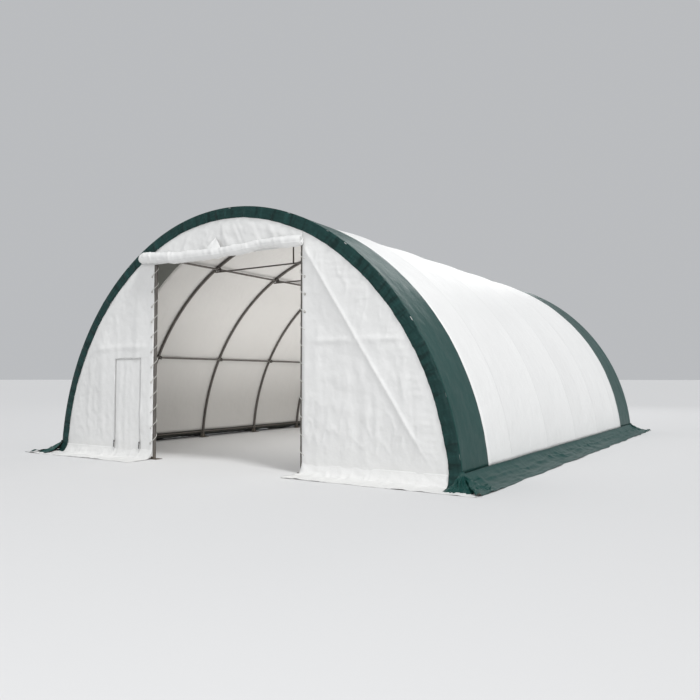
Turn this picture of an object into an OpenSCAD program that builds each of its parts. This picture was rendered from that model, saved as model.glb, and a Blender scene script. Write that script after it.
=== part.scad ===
/* [Shelter] */
// Width between the outer faces of the cover at the ground
span = 9144; // [7600:1:11000]
// Height of the top of the cover above the ground
rise = 4572; // [3800:1:5500]
// Distance from the first hoop to the last, centre to centre
length = 12192; // [10100:1:14700]
// Half angle of the tighter arc over the crown
crown_angle = 27; // [24:0.5:30]
// Angle of the arch at the ground, measured from the crown
side_angle = 87; // [85:0.5:88]

/* [Tubes] */
// Diameter of the hoops and of the upright posts
hoop_d = 60; // [50:1:72]
// Diameter of the purlins, girts, sills and door header
purlin_d = 42; // [34:1:42]
// Diameter of the tie bars and king posts
tie_d = 32; // [26:1:38]
// Diameter of the ground rails
rail_d = 32; // [26:1:40]
// Diameter of the brace cable behind the front panel
cable_d = 8; // [5:1:8]
// Angle of the upper purlins from the crown
upper_purlin_angle = 29.7; // [28.5:0.1:34]
// Angle of the lower purlins from the crown
lower_purlin_angle = 61.8; // [56:0.1:66]
// Drop from the upper purlin centres to the tie bar centres
tie_drop = 52; // [48:1:120]
// Height of the ground rail centres
rail_z = 150; // [140:1:200]
// Height of the girt centres
girt_z = 2130; // [2000:1:2300]

/* [Fabric] */
// Thickness of every fabric piece
cover_t = 4; // [3:1:6]
// Width of the green band on the face of each end
face_band_w = 200; // [150:1:240]
// Length of the green roof band at the front
front_band_l = 1060; // [800:1:1400]
// Length of the green roof band at the rear
rear_band_l = 1300; // [800:1:1800]
// Height of the green base skirts
skirt_h = 205; // [150:1:260]
// Reach of the ground flaps at the sides
side_flap_w = 450; // [300:1:550]
// Reach of the ground flaps at the ends
end_flap_w = 550; // [300:1:700]

/* [Doors] */
// Distance from the centre line to each door jamb centre
jamb_x = 1750; // [1500:1:1900]
// Distance from a jamb centre to the edge of the fabric beside it
jamb_edge = 20; // [5:1:26]
// Drop from the top of the cover to the door header centre
header_drop = 812; // [780:1:1000]
// Width of the walk-in door in the left panel
man_door_w = 740; // [600:1:900]
// Height of the walk-in door
man_door_h = 1925; // [1700:1:2000]
// Distance from the centre line to the middle of the walk-in door
man_door_x = 2490; // [2350:1:2600]
// Diameter of the rolled-up main door
roll_d = 200; // [160:1:240]
// Length of the rolled-up main door
roll_l = 3840; // [3560:1:3900]

/* [Feet] */
// Thickness of the foot plates
plate_t = 8; // [6:1:12]
// Width of a hoop foot plate across the wall
plate_w = 138; // [120:1:160]
// Distance between the two anchor holes of a plate under a hoop
hole_spacing = 170; // [140:1:200]
// Diameter of the anchor holes
hole_d = 18; // [12:1:22]
// Height of the gussets on the foot plates
gusset_h = 110; // [80:1:112]

/* [Hidden] */

$fn = 48;
// Facets of the large arcs
arch_fn = 720;
// Hoops along the building
hoops = 7;
// Clearance between a round tube and what it lies against
gap = 0.3;

// Half of the span
half = span / 2;
// Distance between hoops
bay = length / (hoops - 1);
// Crown and side radii of the outer face: the two arcs are tangent, reach
// the ground at half the span and drop by the rise
arch_det = sin(crown_angle) * (cos(crown_angle) - cos(side_angle))
    - (sin(side_angle) - sin(crown_angle)) * (1 - cos(crown_angle));
crown_r = (half * (cos(crown_angle) - cos(side_angle))
    - rise * (sin(side_angle) - sin(crown_angle))) / arch_det;
side_r = (rise * sin(crown_angle) - half * (1 - cos(crown_angle))) / arch_det;
// Centres of the crown arc and of the right side arc
crown_z = rise - crown_r;
side_x = (crown_r - side_r) * sin(crown_angle);
side_z = crown_z + (crown_r - side_r) * cos(crown_angle);
// Reach that clears the whole building
far = 3 * max(crown_r, side_r);

// Depths below the outer face of the cover
hoop_in = cover_t + gap + hoop_d / 2;
under_hoop = cover_t + gap + hoop_d + gap;
purlin_in = under_hoop + purlin_d / 2;
panel_in = cover_t + gap;

// Places along the building, from the middle outwards
panel_back = length / 2 + hoop_d / 2 + gap;
panel_front = panel_back + cover_t;
outer_end = panel_front + cover_t;
flap_end = outer_end + end_flap_w;

// Door and panel edges
panel_x = jamb_x + jamb_edge;
header_z = rise - header_drop;
top_panel_z = header_z - purlin_d;
sill_z = plate_t + gap + purlin_d / 2;
roll_z = header_z + 15;
roll_x = -100;

// Brace cable: it lies just in front of the girts, whatever the hoops' size
cable_gap = 0.65;
cable_y = purlin_d / 2 + cable_gap + cable_d / 2;
cable_seat = sqrt(pow(hoop_d / 2, 2) - pow(cable_y - cable_d / 2, 2));
cable_top = [jamb_x + cable_seat + gap + 1.2, header_z - 70];
cable_foot = [half - 352, sill_z];

// Feet
foot_edge = half - cover_t - 1;
foot_hole_x = foot_edge - plate_w + 40;
foot_margin = 35;
post_plate = 160;
post_hole_y = 85;
post_hole_x = 45;
gusset_t = 6;
gusset_l = 70;

// Clamp cheeks that hold the purlins to the hoops
clamp_t = 5;
clamp_w = 70;
clamp_top = 14;
clamp_bottom = purlin_in + purlin_d / 2 + 14;

white_cloth = [0.90, 0.91, 0.91];
green_cloth = [0.16, 0.29, 0.27];
tube_steel = [0.36, 0.35, 0.34];
plate_steel = [0.30, 0.30, 0.30];

// Distance of a hoop from the middle of the building
function hoop_y(i) = -length / 2 + (i - 1) * bay;

// Point at a depth under the right side arc
function side_point(angle, depth) = [
    side_x + (side_r - depth) * sin(angle),
    side_z + (side_r - depth) * cos(angle)
];

// Half width of the arch at a height and a depth, low on the side arc
function half_width(z, depth) =
    side_x + sqrt(pow(side_r - depth, 2) - pow(z - side_z, 2));

module both_sides() {
    children();
    mirror([1, 0, 0]) children();
}

// Extrudes an outline drawn as width and height between two places
module along(y0, y1) {
    translate([0, y1, 0]) rotate([90, 0, 0]) linear_extrude(y1 - y0) children();
}

module disc_or_ring(r_out, r_in) {
    difference() {
        circle(r = r_out, $fn = arch_fn);
        if (r_in > 0) circle(r = r_in, $fn = arch_fn);
    }
}

// Right side arc, bounded by the line where it meets the crown arc
module side_2d(outer, inner) {
    intersection() {
        translate([side_x, side_z])
            disc_or_ring(side_r - outer, inner > 0 ? side_r - inner : 0);
        polygon([
            [0, crown_z],
            [far * sin(crown_angle), crown_z + far * cos(crown_angle)],
            [far, crown_z + far * cos(crown_angle)],
            [far, crown_z - far],
            [0, crown_z - far]
        ]);
    }
}

module crown_2d(outer, inner) {
    intersection() {
        translate([0, crown_z])
            disc_or_ring(crown_r - outer, inner > 0 ? crown_r - inner : 0);
        polygon([
            [0, crown_z],
            [far * sin(crown_angle), crown_z + far * cos(crown_angle)],
            [-far * sin(crown_angle), crown_z + far * cos(crown_angle)]
        ]);
    }
}

// Outline of the arch between two depths, or of all under one depth
module arch_2d(outer, inner = 0, z0 = 0) {
    intersection() {
        union() {
            crown_2d(outer, inner);
            side_2d(outer, inner);
            mirror([1, 0]) side_2d(outer, inner);
        }
        translate([-far, z0]) square([2 * far, far]);
    }
}

module hoop_arc(radius, from_angle, to_angle) {
    rotate([90, 0, 0]) rotate([0, 0, 90 - to_angle])
        rotate_extrude(angle = to_angle - from_angle, $fn = arch_fn)
            translate([radius, 0]) circle(d = hoop_d);
}

// A hoop is a crown tube and two side tubes, end to end
module hoop(i) {
    below_ground = 2;
    splice = atan(gap / side_r);
    color(tube_steel) translate([0, hoop_y(i), 0]) intersection() {
        union() {
            translate([0, 0, crown_z])
                hoop_arc(crown_r - hoop_in, -crown_angle, crown_angle);
            both_sides() translate([side_x, 0, side_z])
                hoop_arc(side_r - hoop_in, crown_angle + splice, side_angle + below_ground);
        }
        translate([-far, -hoop_d, plate_t]) cube([2 * far, 2 * hoop_d, far]);
    }
}

module anchor_hole(x, y) {
    translate([x, y, -1]) cylinder(d = hole_d, h = plate_t + 2);
}

// Upright web from the plate to the tube, along the wall
module gusset(x) {
    translate([x + gusset_t / 2, 0, 0]) rotate([0, -90, 0]) linear_extrude(gusset_t)
        polygon([
            [plate_t - 1, hoop_d / 2 + gap],
            [plate_t + gusset_h, hoop_d / 2 + gap],
            [plate_t + gusset_h, hoop_d / 2 + gap + 12],
            [plate_t, hoop_d / 2 + gap + gusset_l],
            [plate_t - 1, hoop_d / 2 + gap + gusset_l]
        ]);
}

// Foot under a hoop inside the building: the plate reaches both ways
module middle_foot() {
    half_l = hole_spacing / 2 + foot_margin;
    difference() {
        translate([foot_edge - plate_w, -half_l, 0]) cube([plate_w, 2 * half_l, plate_t]);
        anchor_hole(foot_hole_x, -hole_spacing / 2);
        anchor_hole(foot_hole_x, hole_spacing / 2);
    }
    gusset(half_width(plate_t, hoop_in));
    mirror([0, 1, 0]) gusset(half_width(plate_t, hoop_in));
}

// Foot under an end hoop: the plate reaches inwards only
module end_foot() {
    first_hole = hoop_d / 2 + 20;
    plate_l = hoop_d / 2 + first_hole + hole_spacing + foot_margin;
    difference() {
        translate([foot_edge - plate_w, -hoop_d / 2, 0]) cube([plate_w, plate_l, plate_t]);
        anchor_hole(foot_hole_x, first_hole);
        anchor_hole(foot_hole_x, first_hole + hole_spacing);
    }
    gusset(half_width(plate_t, hoop_in));
}

// Foot under a post of an end wall
module post_foot() {
    difference() {
        translate([jamb_x - post_plate / 2, -hoop_d / 2, 0])
            cube([post_plate, post_plate, plate_t]);
        anchor_hole(jamb_x - post_hole_x, post_hole_y);
        anchor_hole(jamb_x + post_hole_x, post_hole_y);
    }
}

module end_feet() {
    both_sides() translate([0, hoop_y(1), 0]) {
        end_foot();
        post_foot();
    }
}

module foot_plates() {
    color(plate_steel) {
        end_feet();
        mirror([0, 1, 0]) end_feet();
        for (i = [2 : hoops - 1]) both_sides() translate([0, hoop_y(i), 0]) middle_foot();
    }
}

module purlin(x, z) {
    color(tube_steel) translate([x, 0, z]) rotate([90, 0, 0])
        cylinder(d = purlin_d, h = length + hoop_d, center = true);
}

// A purlin at an angle down the right or the left side
module side_purlin(angle, side) {
    place = side_point(angle, purlin_in);
    purlin(side * place[0], place[1]);
}

// One cheek plate, drawn with the purlin centre at the origin and the
// outside of the arch upwards
module clamp_cheek() {
    difference() {
        translate([-clamp_w / 2, 0, purlin_in - clamp_bottom])
            cube([clamp_w, clamp_t, clamp_bottom - clamp_top]);
        rotate([-90, 0, 0]) translate([0, 0, -1])
            cylinder(d = purlin_d + 2 * gap, h = clamp_t + 2);
    }
}

// The cheeks on both faces of a hoop, or on its inner face at an end
module clamp_pair(i) {
    if (i < hoops) translate([0, hoop_d / 2 + gap, 0]) clamp_cheek();
    if (i > 1) mirror([0, 1, 0]) translate([0, hoop_d / 2 + gap, 0]) clamp_cheek();
}

module side_clamp(i, angle) {
    place = side_point(angle, purlin_in);
    translate([place[0], 0, place[1]]) rotate([0, angle, 0]) clamp_pair(i);
}

module purlin_clamps() {
    color(plate_steel) for (i = [1 : hoops]) translate([0, hoop_y(i), 0]) {
        translate([0, 0, rise - purlin_in]) clamp_pair(i);
        both_sides() {
            side_clamp(i, upper_purlin_angle);
            side_clamp(i, lower_purlin_angle);
        }
    }
}

// Keeps what lies under the hoops near one hoop
module under_hoops(y) {
    intersection() {
        children();
        along(y - hoop_d, y + hoop_d) arch_2d(under_hoop);
    }
}

// A level tube across the building
module cross_tube(x0, x1, y, z, d) {
    translate([x0, y, z]) rotate([0, 90, 0]) cylinder(d = d, h = x1 - x0);
}

// Height of the tie bar centres
function tie_z() = side_point(upper_purlin_angle, purlin_in)[1] - tie_drop;

// A tie bar: the top edge of each square end meets the hoop
module tie_bar(i) {
    reach = half_width(tie_z() + tie_d / 2, under_hoop);
    color(tube_steel) cross_tube(-reach, reach, hoop_y(i), tie_z(), tie_d);
}

module king_posts() {
    foot_z = tie_z() + tie_d / 2 + gap;
    head_z = rise - purlin_in - purlin_d / 2 - gap;
    color(tube_steel) for (i = [2 : hoops - 1]) translate([0, hoop_y(i), foot_z])
        cylinder(d = tie_d, h = head_z - foot_z);
}

// An upright tube from its foot plate to the hoop above it
module post(x, y) {
    color(tube_steel) under_hoops(y) translate([x, y, plate_t]) cylinder(d = hoop_d, h = rise);
}

module door_header() {
    reach = jamb_x - hoop_d / 2 - gap;
    color(tube_steel) cross_tube(-reach, reach, hoop_y(1), header_z, purlin_d);
}

// Girt and sill from a post out to the hoop
module outer_girts(y) {
    start = jamb_x + hoop_d / 2 + gap;
    both_sides() for (z = [girt_z, sill_z])
        under_hoops(y) cross_tube(start, half, y, z, purlin_d);
}

module front_girts() {
    color(tube_steel) outer_girts(hoop_y(1));
}

module rear_girts() {
    reach = jamb_x - hoop_d / 2 - gap;
    color(tube_steel) {
        outer_girts(hoop_y(hoops));
        for (z = [girt_z, sill_z]) cross_tube(-reach, reach, hoop_y(hoops), z, purlin_d);
    }
}

module front_brace_cable() {
    run = cable_foot - cable_top;
    color(plate_steel) translate([cable_top[0], hoop_y(1) - cable_y, cable_top[1]])
        rotate([0, atan2(run[0], run[1]), 0]) cylinder(d = cable_d, h = norm(run));
}

// Rails between the hoops, just above the ground
module ground_rail(side) {
    x = half_width(rail_z, hoop_in);
    clear = hoop_d / 2 + gap;
    color(tube_steel) for (i = [1 : hoops - 1])
        translate([side * x, hoop_y(i) + clear, rail_z]) rotate([-90, 0, 0])
            cylinder(d = rail_d, h = bay - 2 * clear);
}

module cover_length(y0, y1) {
    along(y0, y1) arch_2d(0, cover_t, skirt_h);
}

module roof_cover() {
    color(white_cloth) cover_length(-outer_end + front_band_l, outer_end - rear_band_l);
}

module front_band() {
    color(green_cloth) cover_length(-outer_end, -outer_end + front_band_l);
}

module rear_band() {
    color(green_cloth) cover_length(outer_end - rear_band_l, outer_end);
}

// Skirt along the right side, with its flap on the ground
module base_skirt() {
    mid_x = half - cover_t / 2;
    color(green_cloth) {
        along(-outer_end, outer_end) intersection() {
            arch_2d(0, cover_t);
            square([far, skirt_h]);
        }
        linear_extrude(cover_t) polygon([
            [mid_x, -outer_end],
            [half + side_flap_w, -flap_end],
            [half + side_flap_w, flap_end],
            [mid_x, outer_end]
        ]);
    }
}

// Green band on the face of an end, over the panel and down to its flap
module edge_band() {
    color(green_cloth) along(-outer_end, -panel_front)
        arch_2d(panel_in, panel_in + face_band_w, cover_t);
}

// Front panel of the end at the right, up to the arch
module side_panel() {
    along(-panel_front, -panel_back) intersection() {
        arch_2d(panel_in);
        translate([panel_x, 0]) square([far, far]);
    }
}

module front_panel_right() {
    color(white_cloth) side_panel();
}

module front_panel_left() {
    color(white_cloth) difference() {
        mirror([1, 0, 0]) side_panel();
        translate([-man_door_x - man_door_w / 2, -outer_end, -1])
            cube([man_door_w, 4 * cover_t, man_door_h + 1]);
    }
}

module front_panel_top() {
    color(white_cloth) along(-panel_front, -panel_back) intersection() {
        arch_2d(panel_in);
        translate([-panel_x, top_panel_z]) square([2 * panel_x, far]);
    }
}

module man_door() {
    color(white_cloth) translate([-man_door_x - man_door_w / 2, -panel_front, 0])
        cube([man_door_w, cover_t, man_door_h]);
}

module rear_panel() {
    color(white_cloth) along(panel_back, panel_front) arch_2d(panel_in);
}

// Ground flap of an end from a distance off the centre line to the corner
module end_flap(x0) {
    linear_extrude(cover_t) polygon([
        [x0, -panel_front],
        [half - panel_in, -panel_front],
        [half - panel_in, -outer_end],
        [half - cover_t / 2, -outer_end],
        [half + side_flap_w, -flap_end],
        [x0, -flap_end]
    ]);
}

module front_flap() {
    color(white_cloth) end_flap(panel_x);
}

module rear_flap() {
    color(white_cloth) mirror([0, 1, 0]) both_sides() end_flap(0);
}

module door_roll() {
    y = -panel_front - gap - roll_d / 2;
    color(white_cloth) translate([roll_x - roll_l / 2, y, roll_z]) rotate([0, 90, 0])
        cylinder(d = roll_d, h = roll_l);
}

hoop(1);  // hoop_1
hoop(2);  // hoop_2
hoop(3);  // hoop_3
hoop(4);  // hoop_4
hoop(5);  // hoop_5
hoop(6);  // hoop_6
hoop(7);  // hoop_7
foot_plates();
purlin(0, rise - purlin_in);  // purlin_ridge
side_purlin(upper_purlin_angle, -1);  // purlin_upper_left
side_purlin(upper_purlin_angle, 1);  // purlin_upper_right
side_purlin(lower_purlin_angle, -1);  // purlin_lower_left
side_purlin(lower_purlin_angle, 1);  // purlin_lower_right
purlin_clamps();
tie_bar(2);  // tie_bar_2
tie_bar(3);  // tie_bar_3
tie_bar(4);  // tie_bar_4
tie_bar(5);  // tie_bar_5
tie_bar(6);  // tie_bar_6
king_posts();
post(-jamb_x, hoop_y(1));  // door_jamb_left
post(jamb_x, hoop_y(1));  // door_jamb_right
door_header();
front_girts();
front_brace_cable();
both_sides() post(jamb_x, hoop_y(hoops));  // rear_posts
rear_girts();
ground_rail(-1);  // ground_rail_left
ground_rail(1);  // ground_rail_right
roof_cover();
front_band();
rear_band();
mirror([1, 0, 0]) base_skirt();  // base_skirt_left
base_skirt();  // base_skirt_right
edge_band();  // front_edge_band
mirror([0, 1, 0]) edge_band();  // rear_edge_band
front_panel_left();
front_panel_right();
front_panel_top();
man_door();
rear_panel();
mirror([1, 0, 0]) front_flap();  // front_flap_left
front_flap();  // front_flap_right
rear_flap();
door_roll();
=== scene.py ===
"""Looks of an arched fabric storage shelter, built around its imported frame."""

import math

import bpy
import numpy as np
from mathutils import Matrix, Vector


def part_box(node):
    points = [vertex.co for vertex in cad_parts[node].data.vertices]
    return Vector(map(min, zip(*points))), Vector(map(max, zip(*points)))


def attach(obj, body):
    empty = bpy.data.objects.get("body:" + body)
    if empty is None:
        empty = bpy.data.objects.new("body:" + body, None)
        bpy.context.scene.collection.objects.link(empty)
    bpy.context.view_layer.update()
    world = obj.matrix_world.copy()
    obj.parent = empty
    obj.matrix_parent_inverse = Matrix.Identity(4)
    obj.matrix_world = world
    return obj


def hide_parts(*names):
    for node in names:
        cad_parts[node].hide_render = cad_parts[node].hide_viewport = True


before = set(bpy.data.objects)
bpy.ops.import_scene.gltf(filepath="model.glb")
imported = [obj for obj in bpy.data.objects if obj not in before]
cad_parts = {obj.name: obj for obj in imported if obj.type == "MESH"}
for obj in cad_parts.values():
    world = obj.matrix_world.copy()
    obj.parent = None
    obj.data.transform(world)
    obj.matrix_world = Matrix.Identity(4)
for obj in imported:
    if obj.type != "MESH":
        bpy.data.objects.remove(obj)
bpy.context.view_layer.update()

bl_info = {
    "name": "Fabric Storage Shelter",
    "version": (1, 0, 0),
    "blender": (4, 5, 0),
    "location": "3D View > Sidebar > Shelter",
    "description": "Builds the cloth, lacing and fittings of an arched storage shelter",
    "category": "Add Mesh",
}

# Places taken from the construction model, in metres
COVER_T = 0.004
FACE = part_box("front_panel_right")[0].y
OUTER_END = -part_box("front_band")[0].y
FRONT_BAND_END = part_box("front_band")[1].y
REAR_BAND_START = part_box("rear_band")[0].y
SKIRT_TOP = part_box("base_skirt_right")[1].z
FLAP_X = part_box("base_skirt_right")[1].x
FLAP_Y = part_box("base_skirt_right")[1].y
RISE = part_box("front_band")[1].z
PANEL_DEPTH = COVER_T + 0.0003
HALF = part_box("rear_panel")[1].x + PANEL_DEPTH
HOOPS = [sum(corner.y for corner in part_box(f"hoop_{i}")) / 2 for i in range(1, 8)]
BAY = HOOPS[1] - HOOPS[0]
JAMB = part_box("door_jamb_right")
JAMB_X = (JAMB[0].x + JAMB[1].x) / 2
PANEL_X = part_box("front_panel_right")[0].x
TOP_PANEL_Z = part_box("front_panel_top")[0].z
MAN_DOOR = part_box("man_door")
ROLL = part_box("door_roll")
CROWN_ANGLE = math.radians(27)
SIDE_ANGLE = math.radians(87)
HOOP_DEPTH = 0.0343
PURLIN_DEPTH = 0.0856
PURLIN_R = 0.021
HOOP_NAMES = [f"hoop_{i}" for i in range(1, 8)]
FLAP_REACH = FLAP_X - HALF
ARC_END = 7.4
PANEL_FOOT = 0.03
FLARE = 0.05
FLARE_TOP = 0.22
HEM_TOP = 0.175
HEM_TURN = 0.05
BAND_COVER = 0.21
CABLE_TOP = (1.80, 3.70)
CABLE_FOOT = (4.22, 0.04)
EYELET_X = PANEL_X + 0.055

# Finishes of the two sides of a cloth, and of one face
ROOF = ("white", "inside")
PANEL = ("panel", "inside")
GREEN = ("green", "green_inside")
BAND = ("band", "green_inside")
TWO_PI = 2 * math.pi


def length(name, about, value, low, high):
    """A size in metres that a user can change."""
    return bpy.props.FloatProperty(
        name=name, description=about, default=value, min=low, max=high, unit="LENGTH")


def colour(name, about, value):
    """A colour that a user can change."""
    return bpy.props.FloatVectorProperty(
        name=name, description=about, default=value, subtype="COLOR", size=3, min=0, max=1)


class ShelterSizes(bpy.types.PropertyGroup):
    """Sizes of the cloth and its fittings."""

    cloth: length("Cloth", "Thickness of the coated cloth", 0.003, 0.001, 0.004)
    sag: length("Sag", "How far the cover dips between two hoops", 0.023, 0.0, 0.06)
    face_band: length("Face band", "Width of the green band on each end", 0.2, 0.1, 0.3)
    fold: length("Fold", "Height of the soft folds of the end panels", 0.017, 0.0, 0.03)
    rope: length("Rope", "Diameter of the lacing rope", 0.011, 0.004, 0.02)
    lace_pitch: length("Lace pitch", "Height of one turn of the lacing", 0.29, 0.1, 0.6)
    bolt: length("Bolt", "Width across the flats of a clamp bolt", 0.017, 0.008, 0.03)


class ShelterColours(bpy.types.PropertyGroup):
    """Colours of the cloth, tubes and rope."""

    white: colour("White cloth", "Outside of the white cloth", (0.80, 0.80, 0.79))
    inside: colour("Inside", "Inside of the white cloth", (0.67, 0.655, 0.63))
    green: colour("Green cloth", "Outside of the green cloth", (0.004, 0.052, 0.045))
    green_inside: colour("Green inside", "Inside of the green cloth", (0.105, 0.110, 0.095))
    tube: colour("Tube", "Galvanised tube", (0.125, 0.115, 0.105))
    rope: colour("Rope", "Lacing rope", (0.80, 0.79, 0.75))


# --- The arch -------------------------------------------------------------


class Arch:
    """The outline of the cover: a crown arc and two side arcs, tangent."""

    def __init__(self, half, rise, crown, side):
        sin, cos = math.sin, math.cos
        flat = sin(side) - sin(crown)
        drop = cos(crown) - cos(side)
        det = sin(crown) * drop - flat * (1 - cos(crown))
        self.crown = crown
        self.crown_r = (half * drop - rise * flat) / det
        self.side_r = (rise * sin(crown) - half * (1 - cos(crown))) / det
        self.crown_z = rise - self.crown_r
        self.side_x = (self.crown_r - self.side_r) * sin(crown)
        self.side_z = self.crown_z + (self.crown_r - self.side_r) * cos(crown)

    def point(self, angle, depth=0.0):
        """Across and up at signed angles from the crown."""
        a = np.abs(angle)
        crown = a <= self.crown
        r = np.where(crown, self.crown_r, self.side_r) - depth
        x = np.where(crown, 0.0, self.side_x) + r * np.sin(a)
        z = np.where(crown, self.crown_z, self.side_z) + r * np.cos(a)
        return np.sign(angle) * x, z

    def angle_at(self, z, depth=0.0):
        """The angle on the side arc at a height."""
        return math.acos((z - self.side_z) / (self.side_r - depth))

    def half_width(self, z, depth=0.0):
        """How far the arch reaches across at a height."""
        z = np.asarray(z, float)
        rc, rs = self.crown_r - depth, self.side_r - depth
        joint = self.crown_z + rc * math.cos(self.crown)
        low = self.side_x + np.sqrt(np.maximum(rs**2 - (z - self.side_z) ** 2, 0))
        high = np.sqrt(np.maximum(rc**2 - (z - self.crown_z) ** 2, 0))
        return np.where(z > joint, high, low)

    def inset(self, x, z):
        """How far a point lies inside the outline."""
        ax = np.abs(x)
        on_crown = ax * math.cos(self.crown) < (z - self.crown_z) * math.sin(self.crown)
        crown = self.crown_r - np.hypot(ax, z - self.crown_z)
        side = self.side_r - np.hypot(ax - self.side_x, z - self.side_z)
        return np.where(on_crown, crown, side)

    def arc(self, angle):
        """Length along the arch from the crown."""
        a = np.abs(angle)
        on_crown = self.crown_r * np.minimum(a, self.crown)
        on_side = self.side_r * np.maximum(a - self.crown, 0)
        return np.sign(angle) * (on_crown + on_side)


ARCH = Arch(HALF, RISE, CROWN_ANGLE, SIDE_ANGLE)


# --- Shapes ---------------------------------------------------------------


def sizes():
    return bpy.context.scene.shelter_sizes


def smooth(a, b, v):
    """0 before a, 1 after b, and an S between them."""
    t = np.clip((v - a) / (b - a), 0, 1)
    return t * t * (3 - 2 * t)


def bump_at(v, centre, width):
    """A soft ridge of height 1."""
    return np.exp(-(((v - centre) / width) ** 2))


def waves(a, b, seed, size, octaves=3):
    """Smooth unevenness from -1 to 1 over a plane, the same each time."""
    rng = np.random.default_rng(seed)
    total, weight = 0.0, 0.0
    for k in range(octaves):
        for _ in range(4):
            turn, phase = rng.uniform(0, TWO_PI, 2)
            f = TWO_PI * 2**k / size * rng.uniform(0.7, 1.3)
            share = 0.6**k
            total = total + share * np.sin(f * (a * np.cos(turn) + b * np.sin(turn)) + phase)
            weight += share
    return total / weight * 2


def ridges(v, seed, low, high, spacing, width):
    """A row of soft ridges of uneven place, width and height."""
    rng = np.random.default_rng(seed)
    total = 0.0
    for centre in np.arange(low, high, spacing):
        place = centre + rng.uniform(-0.4, 0.4) * spacing
        wide = width * rng.uniform(0.6, 1.5)
        total = total + rng.uniform(0.3, 1.0) * bump_at(v, place, wide)
    return total


def link(name, mesh):
    obj = bpy.data.objects.new(name, mesh)
    bpy.context.scene.collection.objects.link(obj)
    return obj


def mesh_object(name, verts, faces, materials, uvs=None, soft=True):
    """An object from points and faces. uvs gives each point's place on the cloth."""
    mesh = bpy.data.meshes.new(name)
    mesh.from_pydata([tuple(v) for v in verts], [], [tuple(f) for f in faces])
    if uvs is not None:
        layer = mesh.uv_layers.new(name="cloth")
        index = np.zeros(len(mesh.loops), np.int32)
        mesh.loops.foreach_get("vertex_index", index)
        layer.data.foreach_set("uv", np.asarray(uvs, np.float32)[index].ravel())
    for material in materials:
        mesh.materials.append(material)
    mesh.polygons.foreach_set("use_smooth", [soft] * len(mesh.polygons))
    mesh.validate()
    return link(name, mesh)


def settle(obj):
    """Turns what the modifiers make into the plain mesh of the object."""
    bpy.context.view_layer.update()
    graph = bpy.context.evaluated_depsgraph_get()
    mesh = bpy.data.meshes.new_from_object(
        obj.evaluated_get(graph), preserve_all_data_layers=True, depsgraph=graph)
    old = obj.data
    obj.modifiers.clear()
    obj.data = mesh
    bpy.data.meshes.remove(old)
    return obj


def grid_faces(rows, columns, closed=False):
    """Quads of a grid of points, row after row."""
    r = np.arange(rows - 1)[:, None] * columns
    c = np.arange(columns if closed else columns - 1)[None, :]
    d = (c + 1) % columns
    quads = np.stack([r + c, r + d, r + columns + d, r + columns + c], axis=-1)
    return quads.reshape(-1, 4)


def merged(verts, faces, uvs):
    """Joins points that share a place, and drops faces without an area."""
    key = np.round(verts * 1e5).astype(np.int64)
    _, first, back = np.unique(key, axis=0, return_index=True, return_inverse=True)
    back = back.reshape(-1)
    kept = []
    for face in back[faces]:
        corners = [c for i, c in enumerate(face) if c != face[i - 1]]
        if len(set(corners)) >= 3:
            kept.append(corners)
    return verts[first], kept, uvs[first]


def facing(verts, faces, outwards):
    """Turns every face round if most point away from outwards."""
    quads = np.array([f[:4] if len(f) > 3 else list(f) + [f[2]] for f in faces])
    a, b, c, d = (verts[quads[:, k]] for k in range(4))
    normals = np.cross(c - a, d - b)
    flip = (normals * outwards((a + c) / 2)).sum() < 0
    return [list(f)[::-1] for f in faces] if flip else faces


def cloth(name, points, uvs, materials, outwards, thickness, keep=None):
    """A sheet of cloth with both faces and its edges, from a grid of points."""
    rows, columns = points.shape[:2]
    faces = grid_faces(rows, columns)
    if keep is not None:
        faces = faces[keep.reshape(-1)]
    verts, faces, uvs = merged(points.reshape(-1, 3), faces, uvs.reshape(-1, 2))
    faces = facing(verts, faces, outwards)
    used = np.unique(np.concatenate([np.asarray(f) for f in faces]))
    order = np.full(len(verts), -1)
    order[used] = np.arange(len(used))
    faces = [[order[i] for i in f] for f in faces]
    obj = mesh_object(name, verts[used], faces, materials, uvs[used])
    shell = obj.modifiers.new("cloth", "SOLIDIFY")
    shell.thickness = thickness
    shell.offset = -1
    shell.material_offset = len(materials) - 1
    return settle(obj)


def towards(x, y, z):
    return lambda centres: np.array([x, y, z], float)


def sheet(name, slot, nodes, grids, uvs, look, outwards, keep=None, **facts):
    """A cloth that rides with the building; the facts given of its sheet are not used."""
    points = np.stack(np.broadcast_arrays(*grids), axis=-1)
    uvs = np.stack(np.broadcast_arrays(*uvs), axis=-1)
    obj = cloth(name, points, uvs, [MATERIALS[key] for key in look], outwards, sizes().cloth, keep)
    own(obj, slot, *nodes)


def solid(name, slot, parts, finish, soft=True):
    """One piece from several lists of points, faces and uvs."""
    verts, faces, uvs = joined(parts)
    return own(mesh_object(name, verts, faces, [MATERIALS[finish]], uvs, soft), slot)


def flare(z):
    """How far the foot of an end panel leans out."""
    return FLARE * (1 - smooth(0.0, FLARE_TOP, z)) ** 2


def from_axis(centres):
    """Away from a line through the building."""
    away = centres - np.array([0, 0, 0.3])
    away[:, 1] = 0
    return away


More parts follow.
